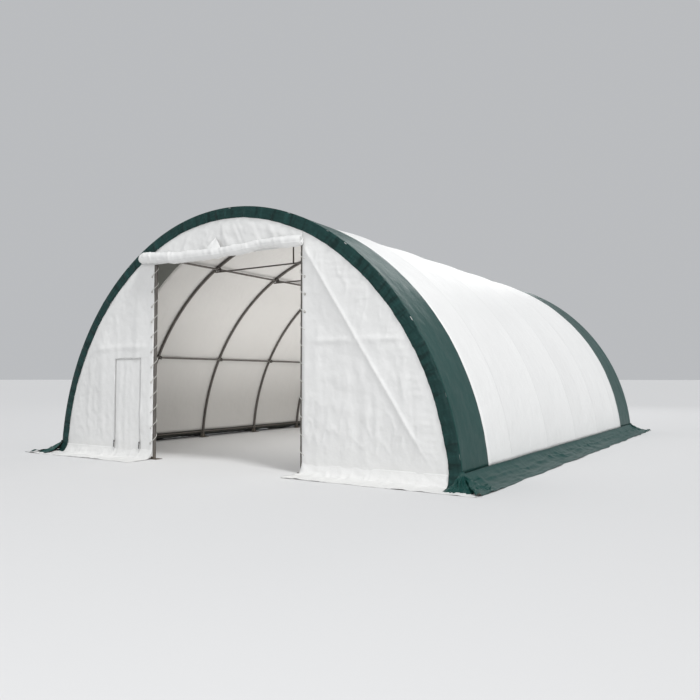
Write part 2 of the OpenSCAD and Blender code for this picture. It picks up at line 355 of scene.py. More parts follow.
def tube_along(path, radius, sides=10, ends=True):
    """Points and faces of a round rope or bar along a path."""
    path = np.asarray(path, float)
    n = len(path)
    step = np.gradient(path, axis=0)
    step /= np.linalg.norm(step, axis=1)[:, None]
    side = np.cross(step, [0.0, 0.0, 1.0])
    flat = np.linalg.norm(side, axis=1) < 1e-3
    side[flat] = [1.0, 0.0, 0.0]
    for i in range(1, n):
        side[i] = side[i - 1] - step[i] * np.dot(side[i - 1], step[i])
        side[i] /= np.linalg.norm(side[i])
    side[0] /= np.linalg.norm(side[0])
    other = np.cross(step, side)
    turn = np.arange(sides) / sides * TWO_PI
    ring = (np.cos(turn)[None, :, None] * side[:, None] + np.sin(turn)[None, :, None] * other[:, None])
    verts = (path[:, None] + radius * ring).reshape(-1, 3)
    faces = [list(f)[::-1] for f in grid_faces(n, sides, closed=True)]
    if ends:
        faces.append(list(range(sides)))
        faces.append([(n - 1) * sides + k for k in range(sides)][::-1])
    along = np.concatenate([[0], np.cumsum(np.linalg.norm(np.diff(path, axis=0), axis=1))])
    uvs = np.stack([np.repeat(along, sides), np.tile(turn * radius, n)], axis=-1)
    return verts, faces, uvs


def joined(parts):
    """One list of points, faces and uvs from several."""
    verts, faces, uvs, start = [], [], [], 0
    for v, f, uv in parts:
        verts.append(np.asarray(v))
        uvs.append(np.asarray(uv))
        faces += [[i + start for i in face] for face in f]
        start += len(v)
    return np.concatenate(verts), faces, np.concatenate(uvs)


def box_part(low, high):
    """A box as points, faces and uvs."""
    x0, y0, z0 = low
    x1, y1, z1 = high
    verts = np.array([(x, y, z) for x in (x0, x1) for y in (y0, y1) for z in (z0, z1)], float)
    faces = [[0, 1, 3, 2], [4, 6, 7, 5], [0, 4, 5, 1], [2, 3, 7, 6], [0, 2, 6, 4], [1, 5, 7, 3]]
    return verts, faces, verts[:, [0, 2]]


def area_of(width, low, high, steps=400):
    """Area of an outline of that width at each height."""
    z = np.linspace(low, high, steps)
    w = width(z)
    return float(((w[1:] + w[:-1]) / 2 * np.diff(z)).sum())


def own(obj, slot, *nodes):
    """Makes a piece ride with the building and stand for its plain nodes."""
    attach(obj, "root")
    if nodes:
        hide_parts(*nodes)
    return obj


# --- Materials ------------------------------------------------------------


class Val:
    """A value socket that Python expressions can work with."""

    def __init__(self, nodes, socket):
        self.nodes = nodes
        self.socket = socket

    def _math(self, operation, other=None, swap=False):
        pair = (other, self) if swap else (self, other)
        inputs = {i: v for i, v in enumerate(pair) if v is not None}
        return self.nodes.add("ShaderNodeMath", {"operation": operation}, inputs).out(0)

    def __add__(self, other):
        return self._math("ADD", other)

    __radd__ = __add__

    def __sub__(self, other):
        return self._math("SUBTRACT", other)

    def __rsub__(self, other):
        return self._math("SUBTRACT", other, True)

    def __mul__(self, other):
        return self._math("MULTIPLY", other)

    __rmul__ = __mul__

    def __truediv__(self, other):
        return self._math("DIVIDE", other)

    def __lt__(self, other):
        return self._math("LESS_THAN", other)

    def of(self, operation):
        return self._math(operation)


class Placed:
    """A node that has been added, with its outputs as values."""

    def __init__(self, nodes, node):
        self.nodes = nodes
        self.node = node

    def out(self, key):
        return Val(self.nodes, self.node.outputs[key])


class Finish:
    """A material that is built up node by node."""

    def __init__(self, name):
        self.material = bpy.data.materials.new(name)
        self.material.use_nodes = True
        self.tree = self.material.node_tree
        self.tree.nodes.clear()
        self.shader = self.tree.nodes.new("ShaderNodeBsdfPrincipled")
        out = self.tree.nodes.new("ShaderNodeOutputMaterial")
        self.tree.links.new(self.shader.outputs[0], out.inputs[0])
        self.place = self.add("ShaderNodeTexCoord").out("Object")
        self.cloth = self.add("ShaderNodeTexCoord").out("UV")

    def add(self, kind, settings=None, inputs=None):
        """Adds a node. Settings are set first, then socket values or links."""
        node = self.tree.nodes.new(kind)
        for key, value in (settings or {}).items():
            setattr(node, key, value)
        for key, value in (inputs or {}).items():
            if isinstance(value, Val):
                self.tree.links.new(value.socket, node.inputs[key])
            else:
                node.inputs[key].default_value = value
        return Placed(self, node)

    def axis(self, vector, key):
        return self.add("ShaderNodeSeparateXYZ", None, {0: vector}).out(key)

    def noise(self, scale, detail=3.0, rough=0.55, vector=None, stretch=None):
        vector = vector or self.place
        if stretch:
            vector = self.add("ShaderNodeMapping", None, {"Vector": vector, "Scale": stretch}).out(0)
        made = self.add("ShaderNodeTexNoise", None, {
            "Vector": vector, "Scale": scale, "Detail": detail, "Roughness": rough})
        return made.out("Fac")

    def mix(self, share, a, b, blend="MIX"):
        """Mixes two colours, which are tuples or values."""
        node = self.tree.nodes.new("ShaderNodeMix")
        node.data_type = "RGBA"
        node.blend_type = blend
        for key, value in ((0, share), (6, a), (7, b)):
            if isinstance(value, Val):
                self.tree.links.new(value.socket, node.inputs[key])
            else:
                node.inputs[key].default_value = value if key == 0 else (*value[:3], 1)
        return Val(self, node.outputs[2])

    def ramp(self, value, low, high):
        """0 below low and 1 above high."""
        return self.add("ShaderNodeMapRange", {"clamp": True}, {
            "Value": value, "From Min": low, "From Max": high}).out(0)

    def set(self, **inputs):
        """Sets or links the inputs of the shader, named with underscores."""
        for key, value in inputs.items():
            socket = self.shader.inputs[key.replace("_", " ")]
            if isinstance(value, Val):
                self.tree.links.new(value.socket, socket)
            elif isinstance(value, tuple):
                socket.default_value = (*value[:3], 1)
            else:
                socket.default_value = value

    def bump(self, height, distance, strength=1.0, below=None):
        inputs = {"Height": height, "Distance": distance, "Strength": strength}
        if below is not None:
            inputs["Normal"] = below
        return self.add("ShaderNodeBump", None, inputs).out(0)


def shade(colour, factor):
    return tuple(min(1.0, c * factor) for c in colour)


def weave(f, pitch):
    """Threads both ways across the cloth."""
    u = f.axis(f.cloth, "X")
    v = f.axis(f.cloth, "Y")
    across = (u * (TWO_PI / pitch)).of("SINE")
    along = (v * (TWO_PI / pitch)).of("SINE")
    return across * along


def coated_cloth(name, colour, dark, crease, gloss, seams=0.0, shine=0.45, pleats=0.0):
    """Woven cloth with a smooth coating, soft creases and a little grime; pleats paints shade and highlight
    lines along the pleats.
    """
    f = Finish(name)
    patches = f.noise(0.55, 4.0)
    streaks = f.noise(1.4, 3.0, stretch=(3.0, 3.0, 0.5))
    base = f.mix(f.ramp(patches, 0.35, 0.7) * 0.55, colour, shade(colour, dark))
    base = f.mix(f.ramp(streaks, 0.5, 0.8) * 0.3, base, shade(colour, dark * 0.98))
    low = 1 - f.ramp(f.axis(f.place, "Z") + f.noise(3.0) * 0.22, 0.10, 0.42)
    grime = tuple(c * k for c, k in zip(shade(colour, 0.80), (1.0, 0.99, 0.96)))
    base = f.mix(low * 0.28, base, grime)
    specks = f.ramp(f.noise(38.0, 2.0), 0.70, 0.78)
    base = f.mix(specks * 0.10, base, shade(colour, 0.72))
    if pleats:
        # Painted shade: dark lines along the pleats' creases; painted highlight: lighter lines beside them.
        pleat_light_lines = f.noise(1.0, 3.0, 0.6, f.cloth, (7.0, 1.6, 1.0))
        base = f.mix(f.ramp(pleat_light_lines, 0.53, 0.62) * pleats, base, shade(colour, 0.30))
        base = f.mix((1 - f.ramp(pleat_light_lines, 0.36, 0.44)) * pleats * 0.5, base, shade(colour, 1.9))
    fine = f.noise(16.0, 4.0, 0.6)
    folds = f.noise(2.6, 3.0, 0.5, stretch=(1.0, 1.0, 0.55))
    normal = f.bump(folds, crease * 12, 0.8)
    normal = f.bump(f.noise(6.5, 3.0, 0.5), crease * 6, 0.75, normal)
    normal = f.bump(fine, crease, 0.7, normal)
    normal = f.bump(weave(f, 0.008), 0.0004, 0.25, normal)
    if seams:
        y = f.axis(f.place, "Y")
        across = ((y + 0.5 * BAY + 40 * BAY) / BAY).of("FRACT") - 0.5
        line = across.of("ABSOLUTE") < seams / BAY
        base = f.mix(line * 0.30, base, shade(colour, 0.78))
        normal = f.bump(line, 0.002, 0.8, normal)
    rough = f.noise(5.0, 3.0) * 0.16 + (gloss - 0.08)
    f.set(Base_Color=base, Roughness=rough, Normal=normal, Specular_IOR_Level=shine)
    return f.material


def dull_steel(name, colour, metallic, rough):
    """Galvanised steel: crystals in the zinc, dull patches and handling marks."""
    f = Finish(name)
    cells = f.add("ShaderNodeTexVoronoi", {"feature": "F1"}, {"Vector": f.place, "Scale": 85.0})
    tone = f.axis(cells.out("Color"), "X")
    base = f.mix(tone * 0.45, colour, shade(colour, 1.55))
    base = f.mix(f.ramp(f.noise(3.5, 4.0), 0.45, 0.75) * 0.5, base, shade(colour, 0.68))
    low = 1 - f.ramp(f.axis(f.place, "Z") + f.noise(9.0) * 0.15, 0.05, 0.3)
    base = f.mix(low * 0.45, base, (0.16, 0.125, 0.09))
    scratches = f.noise(60.0, 2.0, stretch=(1.0, 1.0, 0.15))
    f.set(
        Base_Color=base,
        Metallic=metallic,
        Roughness=f.noise(12.0, 3.0) * 0.3 + (rough - 0.15),
        Normal=f.bump(scratches, 0.0006, 0.4),
    )
    return f.material


def rope_fibre(name, colour):
    """Braided rope: slanting strands along and round it."""
    f = Finish(name)
    along = f.axis(f.cloth, "X")
    around = f.axis(f.cloth, "Y")
    strands = ((along + around * 0.8) * (TWO_PI / 0.012)).of("SINE")
    # Painted shade: the grooves between the strands are coloured darker than the crests.
    base = f.mix(f.ramp(strands, -0.2, 0.9), shade(colour, 0.66), colour)
    base = f.mix(f.ramp(f.noise(9.0, 3.0), 0.5, 0.8) * 0.4, base, shade(colour, 0.7))
    f.set(Base_Color=base, Roughness=f.noise(30.0) * 0.1 + 0.78, Normal=f.bump(strands, 0.0012, 0.8))
    return f.material


def plain_polymer(name, colour, rough):
    """Moulded polymer with a faint mottle."""
    f = Finish(name)
    base = f.mix(f.ramp(f.noise(25.0, 3.0), 0.4, 0.7) * 0.5, colour, shade(colour, 0.75))
    normal = f.bump(f.noise(90.0), 0.0004, 0.5)
    f.set(Base_Color=base, Roughness=f.noise(40.0) * 0.12 + rough, Normal=normal)
    return f.material


MATERIALS = {}


def make_materials(colours):
    """One material for each finish, by a plain name."""
    white, inside = tuple(colours.white), tuple(colours.inside)
    green, green_inside = tuple(colours.green), tuple(colours.green_inside)
    # The face band is the same green cloth as the roof band, painted greyer for how the end face takes the
    # light: painted light.
    painted_face_green = tuple(c * k for c, k in zip(green, (3.0, 0.86, 0.92)))
    MATERIALS.update(
        white=coated_cloth("white_cloth", white, 0.93, 0.0016, 0.50, seams=0.022),
        panel=coated_cloth("white_panel_cloth", shade(white, 0.98), 0.93, 0.0020, 0.52),
        inside=coated_cloth("white_cloth_inside", inside, 0.94, 0.0012, 0.62, seams=0.022),
        green=coated_cloth("green_cloth", green, 0.72, 0.0014, 0.42, shine=0.34),
        band=coated_cloth("green_band_cloth", painted_face_green, 0.70, 0.0020, 0.50, shine=0.18, pleats=0.6),
        green_inside=coated_cloth("green_cloth_inside", green_inside, 0.86, 0.0012, 0.62),
        tube=dull_steel("galvanised_tube", tuple(colours.tube), 0.55, 0.48),
        plate=dull_steel("steel_plate", shade(tuple(colours.tube), 0.85), 0.55, 0.55),
        bolt=dull_steel("zinc_bolt", (0.42, 0.41, 0.38), 0.85, 0.36),
        rope=rope_fibre("white_rope", tuple(colours.rope)),
        zip=plain_polymer("zip_tape", (0.66, 0.66, 0.65), 0.55),
        tooth=plain_polymer("zip_teeth", (0.50, 0.50, 0.50), 0.40),
        hook=plain_polymer("black_hook", (0.02, 0.02, 0.022), 0.45),
    )


# --- Cover ----------------------------------------------------------------


def y_samples(y0, y1, step=0.12):
    """Places along the cover, closer together over each hoop."""
    close = [h + d for h in HOOPS for d in (-0.09, -0.05, -0.025, 0.0, 0.025, 0.05, 0.09)]
    even = np.linspace(y0, y1, max(3, int(round((y1 - y0) / step)) + 1))
    every = np.array([y for y in close if y0 + 0.02 < y < y1 - 0.02])
    return np.unique(np.round(np.concatenate([even, every]), 4))


def cover_depth(arc, y):
    """How far the cloth lies inside the outline: it dips between the hoops."""
    s = sizes()
    place = (y - HOOPS[0]) / BAY
    middle = 1 - (2 * (place - np.floor(place)) - 1) ** 2
    inner = smooth(-OUTER_END, -OUTER_END + 0.2, y) * smooth(OUTER_END, OUTER_END - 0.2, y)
    dip = s.sag * middle * np.where((place < 0) | (place > 6), 0, 1)
    dip *= 1 + 0.25 * waves(arc, y, 3, 5.0, 2)
    slack = 0.004 * middle * waves(arc, y, 7, 0.9, 3)
    end = np.minimum(np.abs(y + OUTER_END), np.abs(y - OUTER_END))
    puckers = ridges(arc, 21, -7.2, 7.2, 0.21, 0.035) * 0.010 * np.exp(-end / 0.16)
    ends = 0.004 * waves(arc, y, 9, 0.6, 2) * (1 - smooth(0.1, 0.9, end))
    return (dip + slack + ends) * inner + puckers * smooth(0, 0.05, end) * (1 - middle * 0.3) - 0.001


def cover_sheet(name, node, y0, y1, look, slot):
    bottom = ARCH.angle_at(SKIRT_TOP - 0.012)
    angles = np.linspace(-bottom, bottom, 221)
    ys = y_samples(y0, y1, 0.12 if y1 - y0 > 3 else 0.04)
    a, y = np.meshgrid(angles, ys, indexing="ij")
    arc = ARCH.arc(a)
    x, z = ARCH.point(a, cover_depth(arc, y))
    sheet(name, slot, [node], (x, y, z), (arc, y), look, from_axis, held="stretched",
          flat=(float(2 * ARCH.arc(bottom)), float(y1 - y0)), rests_on=HOOP_NAMES)


class SHELTER_OT_cover(bpy.types.Operator):
    """Cover the hoops with the white roof and its green end bands"""

    bl_idname = "shelter.cover"
    bl_label = "Cover"

    def execute(self, context):
        places = (-OUTER_END, FRONT_BAND_END, REAR_BAND_START, OUTER_END)
        cover_sheet("roof_cloth", "roof_cover", places[1], places[2], ROOF, "white_fabric")
        cover_sheet("front_roof_band", "front_band", places[0], places[1], GREEN, "green_fabric")
        cover_sheet("rear_roof_band", "rear_band", places[2], places[3], GREEN, "green_fabric")
        return {"FINISHED"}


def skirt_profile(share):
    """Out and up along the skirt: it leaves the wall and sweeps down to the ground."""
    out = share**1.5
    x = out * FLAP_REACH
    z = 0.007 + (SKIRT_TOP - 0.007) * (1 - share) ** 1.8
    return x, z, out


def skirt_reach():
    """How far the skirt's cloth goes from its top edge to its hem."""
    x, z, _ = skirt_profile(np.linspace(0, 1, 200))
    return float(np.hypot(np.diff(x), np.diff(z)).sum())


class SHELTER_OT_skirts(bpy.types.Operator):
    """Make the green skirts along both sides, with their flaps on the ground"""

    bl_idname = "shelter.skirts"
    bl_label = "Side skirts"

    def execute(self, context):
        for side, name in ((1, "right"), (-1, "left")):
            self.skirt(side, name)
        return {"FINISHED"}

    def skirt(self, side, name):
        share = np.linspace(0, 1, 46)
        along = np.linspace(-1, 1, 521)
        v, u = np.meshgrid(share, along, indexing="ij")
        x, z, out = skirt_profile(v)
        y = u * (OUTER_END + out * (FLAP_Y - OUTER_END))
        wall = 1 - smooth(0.0, 0.35, v)
        seed = 30 if side > 0 else 60
        dip = cover_depth(np.full_like(y, 6.9), np.clip(y, -OUTER_END, OUTER_END))
        x = x - (dip - 0.002) * wall
        slant = y + 0.5 * out * waves(y, v, seed, 2.6, 1)
        folds = ridges(slant, seed, -6.8, 6.8, 0.62, 0.11)
        folds = folds + 0.35 * ridges(slant, seed + 8, -6.8, 6.8, 0.2, 0.04)
        wander = 0.10 * waves(y * 0.6, v * 0, seed + 1, 1.9, 2)
        creases = ridges(v + wander, seed + 2, 0.3, 1.1, 0.2, 0.05)
        lying = smooth(0.08, 0.4, v)
        ends = smooth(5.4, 6.3, np.abs(y))
        z = z + lying * (0.014 * folds * (1 - 0.6 * out) + 0.020 * creases * (1 - 0.5 * out))
        z = z + lying * 0.014 * np.maximum(waves(y, x * 2, seed + 3, 1.1, 3), -0.3)
        z = z + lying * ends * 0.040 * np.maximum(waves(y, x, seed + 6, 0.33, 2), 0)
        x = x + bump_at(v, 0.45, 0.22) * (0.014 * folds + 0.020 * waves(y, v, seed + 4, 0.9, 2))
        x = x + out**2 * 0.026 * waves(y, v * 0, seed + 5, 1.4, 3)
        z = np.maximum(z, 0.0035)
        reach = skirt_reach()
        sheet(f"side_skirt_{name}", "green_fabric", [f"base_skirt_{name}"], (side * (HALF + x), y, z),
              (v * reach, y), GREEN, towards(side, 0, 0.7), flat=(reach, 2 * FLAP_Y), held="laid",
              area=reach * (OUTER_END + FLAP_Y), rests_on=HOOP_NAMES)


def edge_band(name, node, end, seed):
    """The gathered band on the face of one end: end is -1 at the front."""
    wide = sizes().face_band
    bottom = ARCH.angle_at(0.012, PANEL_DEPTH)
    a, d = np.meshgrid(np.linspace(-bottom, bottom, 1301), np.linspace(0, 1, 17), indexing="ij")
    arc = ARCH.arc(a)
    pleats = ridges(arc, seed, -ARC_END, ARC_END, 0.22, 0.040)
    small = ridges(arc + 0.03 * waves(arc, d, seed + 1, 0.5, 2), seed + 2, -ARC_END, ARC_END, 0.09, 0.022)
    wander = waves(arc, d * 0, seed + 3, 1.3, 3)
    depth = 0.001 + d * (wide + 0.010 * wander)
    x, z = ARCH.point(a, depth)
    lift = 0.006 + 0.024 * pleats * np.sin(d * math.pi * 0.85) + 0.005 * small * d
    lift = lift + 0.004 * waves(arc, d, seed + 4, 0.35, 2)
    roll = 0.010 * (1 - smooth(0.0, 0.16, d))
    foot = np.clip((0.185 - z) / 0.125, 0, 1)
    over = 0.056 * foot**1.4 + 0.055 * np.clip((0.05 - z) / 0.044, 0, 1) + 0.008 * np.sign(foot)
    y = end * (OUTER_END - 0.002 + np.maximum(lift, 0.001) + over - roll * 0.6)
    sheet(name, "green_fabric", [node], (x, y, np.maximum(z, 0.004)), (arc, d * wide), BAND,
          towards(0, end, 0), flat=(float(2 * ARCH.arc(bottom)), wide), held="gathered",
          rests_on=["rear_panel" if end > 0 else "hoop_1"])


def corner_gather(name, side, end, seed):
    """Spare cloth of the skirt, bunched round one corner of the building."""
    v, a = np.meshgrid(np.linspace(0, 1, 34), np.linspace(-0.16, 1.16, 90), indexing="ij")
    turn = a * math.pi / 2
    reach = 0.40 + 0.05 * waves(a * 2, a * 0, seed, 1.2, 3)
    folds = ridges(a + 0.10 * waves(a, v, seed + 1, 1.0, 2), seed + 2, -0.2, 1.2, 0.13, 0.030)
    rings = ridges(v + 0.07 * waves(a, v, seed + 3, 0.9, 2), seed + 4, 0.2, 1.0, 0.2, 0.045)
    out = 0.035 + reach * v**1.4 + 0.020 * folds * bump_at(v, 0.4, 0.3)
    z = 0.016 + 0.215 * (1 - v) ** 1.8
    z = z + smooth(0.05, 0.4, v) * (0.034 * folds + 0.020 * rings) * (1 - 0.55 * v)
    z = z - 0.012 * smooth(0.8, 1.0, v)
    x = HALF - 0.03 + out * np.cos(turn)
    y = OUTER_END - 0.015 + out * np.sin(turn) * 1.15
    long = 0.51
    wide = 1.32 * math.pi / 2 * 0.46
    sheet(name, "green_fabric", [], (side * x, end * y, z), (turn * 0.3, v * 0.5), GREEN,
          towards(side, end, 1.0), flat=(wide, long), area=wide * long * 0.56, held="gathered",
          rests_on=["foot_plates"])


class SHELTER_OT_edge_bands(bpy.types.Operator):
    """Gather the green band round the face of each end"""

    bl_idname = "shelter.edge_bands"
    bl_label = "Face bands"

    def execute(self, context):
        edge_band("front_face_band", "front_edge_band", -1, 101)
        edge_band("rear_face_band", "rear_edge_band", 1, 141)
        for side, across in ((1, "right"), (-1, "left")):
            for end, along in ((-1, "front"), (1, "rear")):
                corner_gather(f"{along}_{across}_corner", side, end, 500 + 20 * side + 7 * end)
        return {"FINISHED"}


# --- End panels -----------------------------------------------------------


def near_line(x, z, start, end):
    """Distance from a straight line, and how far along it, from 0 to 1."""
    run = np.array(end) - np.array(start)
    length = math.hypot(*run)
    dx, dz = x - start[0], z - start[1]
    along = (dx * run[0] + dz * run[1]) / length**2
    away = (dx * run[1] - dz * run[0]) / length
    return away, along


def panel_relief(x, z, seed, cable=False):
    """How far an end panel stands out: folds, the girt behind it, its edges."""
    fold = sizes().fold
    ax = np.abs(x)
    rim = smooth(BAND_COVER, 0.55, ARCH.inset(x, z))
    high = smooth(0.15, 0.9, z)
    hang = ridges(x + 0.05 * waves(x, z, seed, 2.4, 2), seed + 1, -4.6, 4.6, 0.34, 0.075)
    hang = hang * (0.35 + 0.65 * (1 - smooth(0.3, 3.2, z)))
    small = np.maximum(waves(x, z, seed + 2, 0.8, 3), -0.4)
    belly = 0.022 * np.maximum(waves(x, z * 0.7, seed + 3, 3.2, 2), -0.2)
    girt = 0.016 * bump_at(z, 2.14 + 0.01 * waves(x, z, seed + 4, 1.5, 1), 0.05) * smooth(1.9, 2.1, ax)
    girt = girt + 0.006 * bump_at(z, 2.1, 0.22)
    edge = 0.011 * ridges(z, seed + 5, 0.0, 4.0, 0.11, 0.03) * bump_at(
        ARCH.inset(x, z), 0.34, 0.16)
    lift = fold * hang + 0.008 * small + belly + girt + edge
    if cable:
        away, along = near_line(x, z, CABLE_TOP, CABLE_FOOT)
        on = smooth(-0.02, 0.03, along) * (1 - smooth(0.85, 1.0, along))
        lift = lift * (1 - 0.6 * on * bump_at(away, 0, 0.16))
        lift = lift + on * (0.030 * np.exp(-np.abs(away) / 0.024) + 0.020 * bump_at(away, 0.02, 0.30))
    crumple = (1 - np.minimum(np.abs(waves(x, z * 0.8, seed + 7, 0.75, 3)), 1)) ** 4
    edge_share = bump_at(ARCH.inset(x, z), 0.30, 0.35)
    where = 0.25 + 0.75 * np.maximum(edge_share, bump_at(z, 0.55, 0.45))
    lift = lift + 0.013 * crumple * where
    return np.maximum(lift, 0) * rim * (0.35 + 0.65 * high)


def end_panel(name, node, end, columns, rows, seed, flat, area, hole=None, cable=False):
    """A panel of one end, from a lattice cut to the arch."""
    zz, xx = np.meshgrid(rows, columns, indexing="ij")
    half = ARCH.half_width(zz, PANEL_DEPTH + 0.001)
    x = np.clip(xx, -half, half)
    lift = panel_relief(x, zz, seed, cable)
    jamb = bump_at(np.abs(x), PANEL_X, 0.05) * (end < 0)
    lift = lift * (1 - 0.9 * jamb)
    y = end * (abs(FACE) + lift + flare(zz))
    keep = None
    if hole:
        cx = (xx[:-1, :-1] + xx[1:, 1:]) / 2
        cz = (zz[:-1, :-1] + zz[1:, 1:]) / 2
        keep = ~((cx > hole[0]) & (cx < hole[1]) & (cz < hole[2]))
    sheet(name, "white_fabric", [node], (x, y, zz), (x, zz), PANEL, towards(0, end, 0), keep,
          flat=flat, area=area, held="hung", rests_on=["hoop_1" if end < 0 else "hoop_7"])


def lines(*stops, step=0.035):
    """Places from stop to stop with about that step between them."""
    every = [np.linspace(a, b, max(2, int(round(abs(b - a) / step)) + 1)) for a, b in zip(stops, stops[1:])]
    return np.unique(np.round(np.concatenate(every), 5))


def arch_rows(low, high, first=(), step=0.035):
    """Heights between two heights, at even steps along the arch."""
    a0 = ARCH.angle_at(low, PANEL_DEPTH)
    _, z = ARCH.point(np.linspace(a0, 0.004, 190), PANEL_DEPTH + 0.001)
    even = np.arange(low, min(high, 3.6), step)
    z = np.concatenate([z[z > 3.6], even, [low, high], list(first)])
    z = np.unique(np.round(z[(z >= low) & (z <= high)], 4))
    return z[np.concatenate([[True], np.diff(z) > 0.0015])]


def side_width(z):
    return np.maximum(ARCH.half_width(z, PANEL_DEPTH) - PANEL_X, 0)


class SHELTER_OT_front_panels(bpy.types.Operator):
    """Hang the white panels of the front, with the walk-in door in the left one"""

    bl_idname = "shelter.front_panels"
    bl_label = "Front panels"

    def execute(self, context):
        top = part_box("front_panel_right")[1].z
        reach = HALF - PANEL_DEPTH
        area = area_of(side_width, 0, top)
        columns = lines(PANEL_X, reach, step=0.022)
        rows = arch_rows(PANEL_FOOT, top - 0.002, step=0.022)
        flat = (reach - PANEL_X, top)
        end_panel("right_front_cloth", "front_panel_right", -1, columns, rows, 201, flat, area, cable=True)
        low, high = MAN_DOOR
        columns = lines(-reach, low.x, high.x, -PANEL_X)
        rows = arch_rows(PANEL_FOOT, top - 0.002, (high.z,))
        rows = np.unique(np.concatenate([rows[np.abs(rows - high.z) > 0.012], [high.z]]))
        door = (high.x - low.x) * high.z
        end_panel("left_front_cloth", "front_panel_left", -1, columns, rows, 231, flat, area - door,
                  hole=(low.x, high.x, high.z))
        self.lunette()
        self.walk_in_door(low, high)
        return {"FINISHED"}

    def lunette(self):
        columns = lines(-PANEL_X, PANEL_X, step=0.03)
        share = np.linspace(0, 1, 34)
        v, x = np.meshgrid(share, columns, indexing="ij")
        ax = np.abs(x)
        rc, rs = ARCH.crown_r - PANEL_DEPTH - 0.001, ARCH.side_r - PANEL_DEPTH - 0.001
        joint = rc * math.sin(CROWN_ANGLE)
        crown = ARCH.crown_z + np.sqrt(np.maximum(rc**2 - ax**2, 0))
        side = ARCH.side_z + np.sqrt(rs**2 - (ax - ARCH.side_x) ** 2)
        top = np.where(ax < joint, crown, side)
        z = TOP_PANEL_Z + v * (top - TOP_PANEL_Z)
        slant = x + 0.5 * (z - 3.9) * np.sign(x)
        lift = 0.020 * ridges(slant, 251, -2.2, 2.2, 0.20, 0.035) * smooth(0, 0.3, v)
        lift = lift + 0.014 * np.maximum(waves(x, z, 252, 0.6, 3), -0.3)
        lift = lift * smooth(BAND_COVER, 0.40, ARCH.inset(x, z))
        y = FACE - np.maximum(lift, 0)
        tall = float(top.max()) - TOP_PANEL_Z
        area = float(((top[0, 1:] + top[0, :-1]) / 2 - TOP_PANEL_Z) @ np.diff(columns))
        sheet("top_front_cloth", "white_fabric", ["front_panel_top"], (x, y, z), (x, z), PANEL,
              towards(0, -1, 0), flat=(2 * PANEL_X, tall), area=area, held="stretched",
              rests_on=["hoop_1", "door_header"])

    def walk_in_door(self, low, high):
        columns = lines(low.x + 0.002, high.x - 0.002, step=0.03)
        rows = lines(PANEL_FOOT, high.z - 0.002, step=0.035)
        z, x = np.meshgrid(rows, columns, indexing="ij")
        inner = np.minimum(x - low.x, high.x - x)
        calm = smooth(0.0, 0.12, inner) * smooth(0.0, 0.1, high.z - z)
        lift = 0.012 * ridges(x + 0.04 * waves(x, z, 262, 1.2, 2), 261, low.x, high.x, 0.17, 0.05)
        lift = lift + 0.006 * np.maximum(waves(x, z, 263, 0.6, 3), -0.3)
        y = FACE - 0.004 - np.maximum(lift * calm, 0) - flare(z)
        sheet("walk_in_door_cloth", "white_fabric", ["man_door"], (x, y, z), (x, z), PANEL,
              towards(0, -1, 0), flat=(high.x - low.x, high.z), held="hung",
              rests_on=["left_front_cloth"])


class SHELTER_OT_rear_panel(bpy.types.Operator):
    """Hang the white panel that closes the rear"""

    bl_idname = "shelter.rear_panel"
    bl_label = "Rear panel"

    def execute(self, context):
        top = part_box("rear_panel")[1].z
        reach = HALF - PANEL_DEPTH
        columns = lines(-reach, 0, reach, step=0.05)
        rows = arch_rows(PANEL_FOOT, top - 0.0012)
        area = area_of(lambda z: 2 * ARCH.half_width(z, PANEL_DEPTH), 0, top)
        end_panel("rear_cloth", "rear_panel", 1, columns, rows, 271, (2 * reach, top), area)
        return {"FINISHED"}


# --- Ground flaps of the ends ---------------------------------------------


def ground_flap(name, node, end, x0, x1, mitres, seed, reach):
    """The hem of an end panel, from a little up the wall and out over the ground."""
    share = np.linspace(0, 1, 42)
    along = np.linspace(0, 1, max(30, int(abs(x1 - x0) / 0.03)))
    v, u = np.meshgrid(share, along, indexing="ij")
    wall, turn = 0.22, 0.36
    t = np.clip(v / wall, 0, 1)
    z = HEM_TOP - t * (HEM_TOP - HEM_TURN)
    out = 0.004 + 0.052 * t**1.4
    bend = np.clip((v - wall) / (turn - wall), 0, 1)
    z = np.where(v > wall, HEM_TURN - 0.044 * np.sin(bend * math.pi / 2), z)
    out = out + 0.055 * bend
    flat = np.clip((v - turn) / (1 - turn), 0, 1)
    out = out + flat * (reach - 0.111)
    x = x0 + u * (x1 - x0)
    corner = flat * FLAP_REACH
    x = x + np.sign(x1) * corner * smooth(0.8, 1.0, u)
    if mitres == 2:
        x = x - corner * (1 - smooth(0.0, 0.2, u))
    folds = ridges(x + 0.06 * waves(x, v, seed, 1.0, 2), seed + 1, -5.2, 5.2, 0.17, 0.030)
    lying = smooth(0.2, 0.4, v)
    lumps = np.maximum(waves(x, out, seed + 2, 0.6, 3), -0.2)
    z = z + lying * (0.020 * folds * (1 - 0.7 * flat) + 0.010 * lumps)
    out = out + bump_at(v, 0.26, 0.14) * (0.014 * folds + 0.010 * waves(x, v, seed + 3, 0.45, 2))
    out = out + flat**2 * 0.028 * waves(x, v * 0, seed + 4, 0.9, 3)
    z = np.maximum(z, 0.0038)
    y = end * (abs(FACE) + out)
    wide = abs(x1 - x0)
    long = wide + FLAP_REACH * mitres
    sheet(name, "white_fabric", [node], (x, y, z), (x, v * 0.75), PANEL, towards(0, end, 0.7),
          flat=(long, reach + HEM_TOP), area=HEM_TOP * wide + (reach - 0.02) * (wide + long) / 2,
          held="laid", rests_on=["front_girts" if end < 0 else "rear_girts"])


